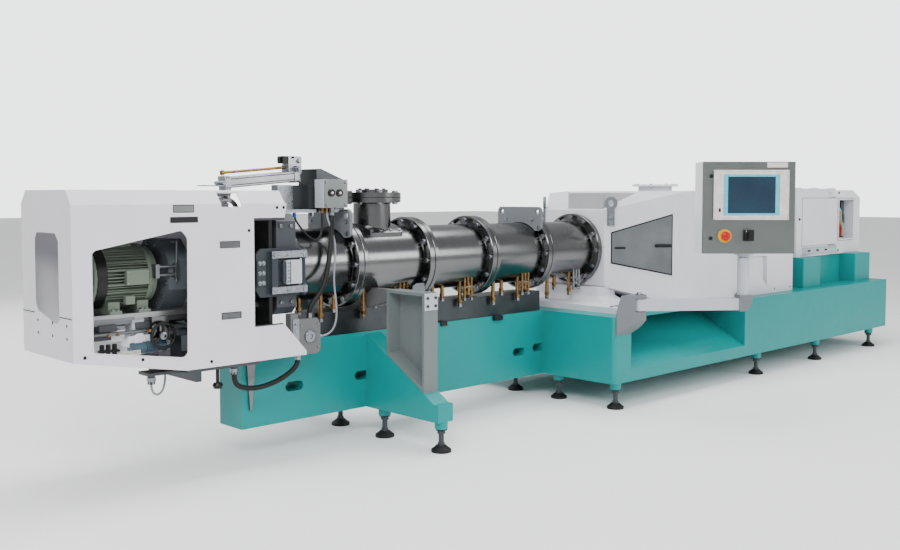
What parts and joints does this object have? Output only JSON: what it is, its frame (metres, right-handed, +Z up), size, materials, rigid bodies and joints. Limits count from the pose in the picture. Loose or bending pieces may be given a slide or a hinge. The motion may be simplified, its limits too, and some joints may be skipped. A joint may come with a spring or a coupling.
{
  "type": "food extruder",
  "caption": "Single screw food extruder with drive base, gearbox, flanged barrel, guarded die face cutter and a swing-out control panel.",
  "frame": {"origin": "floor, at the centre of the machine's overall length and depth with the control panel swung out", "axes": "+X along the machine from the cutter to the drive motor, +Y away from the operator's side, +Z up"},
  "size_m": [7.584, 2.2157, 1.6],
  "materials": {
    "aluminium": "satin",
    "arm_grey": "satin",
    "bezel": "satin",
    "black_plastic": "matt",
    "black_rubber": "matt",
    "black_steel": "satin",
    "blue_grey": "satin",
    "brass": "satin",
    "cabinet_grey": "satin",
    "casting_white": "satin",
    "dark_grey": "satin",
    "guard_white": "satin",
    "machine_teal": "satin",
    "motor_green_grey": "satin",
    "motor_grey": "satin",
    "sheet_steel": "matt",
    "signal": "gloss",
    "stainless": "brushed",
    "zinc": "satin"
  },
  "bodies": {
    "frame": {"access_panels": "sheet_steel", "air_cylinder": "aluminium", "arm_bracket": "sheet_steel", "barrel_beam": "machine_teal", "barrel_saddle": "zinc", "barrel_section_1": "stainless", "barrel_section_2": "stainless", "barrel_section_3": "stainless", "barrel_section_4": "stainless", "barrel_section_5": "stainless", "beam_trough": "sheet_steel", "chamber_plate": "black_steel", "cutter_hub": "dark_grey", "cutter_motor": "motor_green_grey", "cutter_shaft": "stainless", "die_block": "blue_grey", "drain_hose": "black_rubber", "drive_base": "machine_teal", "feed_cover": "stainless", "feed_port": "stainless", "gearbox_case": "casting_white", "gearbox_pedestal": "casting_white", "gearbox_top_box": "casting_white", "guard_end": "guard_white", "guard_front": "guard_white", "guard_rear": "guard_white", "guard_roof": "guard_white", "hood_tray": "zinc", "junction_box": "arm_grey", "levelling_feet": "black_rubber", "lifting_lugs": "zinc", "lifting_plate": "zinc", "lock_block": "zinc", "loop_cable": "black_rubber", "media_pipes": "brass", "motor_housing": "motor_grey", "motor_pedestals": "machine_teal", "motor_slide": "aluminium", "outriggers": "machine_teal", "sensor_cable": "bezel", "slide_gear_motor": "stainless", "steam_hose": "black_rubber", "support_frames": "sheet_steel", "swing_clamp": "blue_grey", "tray_cable": "bezel", "valve_box": "stainless", "valve_shelf": "stainless", "vent_flange": "casting_white", "wheel_bracket": "stainless"},
    "arm": {"arm_elbow": "dark_grey", "panel_arm": "arm_grey", "panel_post": "arm_grey"},
    "cabinet": {"cabinet_coupling": "dark_grey", "cabinet_door": "cabinet_grey", "display_panel": "bezel", "main_switch": "black_plastic", "panel_cabinet": "arm_grey", "stop_button": "signal"},
    "handwheel": {"handwheel": "black_plastic"}
  },
  "joints": [
    {"name": "arm_swing", "type": "hinge", "parent": "frame", "child": "arm", "pos_m": [-0.272, -0.396, 0.676], "axis": [0, 0, 1], "range_deg": [-75, 24]},
    {"name": "cabinet_swivel", "type": "hinge", "parent": "arm", "child": "cabinet", "pos_m": [0.27413, -0.82422, 1], "axis": [0, 0, 1], "range_deg": [-90, 90]},
    {"name": "handwheel_spin", "type": "hinge", "parent": "frame", "child": "handwheel", "pos_m": [-3.32, 0.182, 0.716], "axis": [0, -1, 0], "continuous": true}
  ]
}
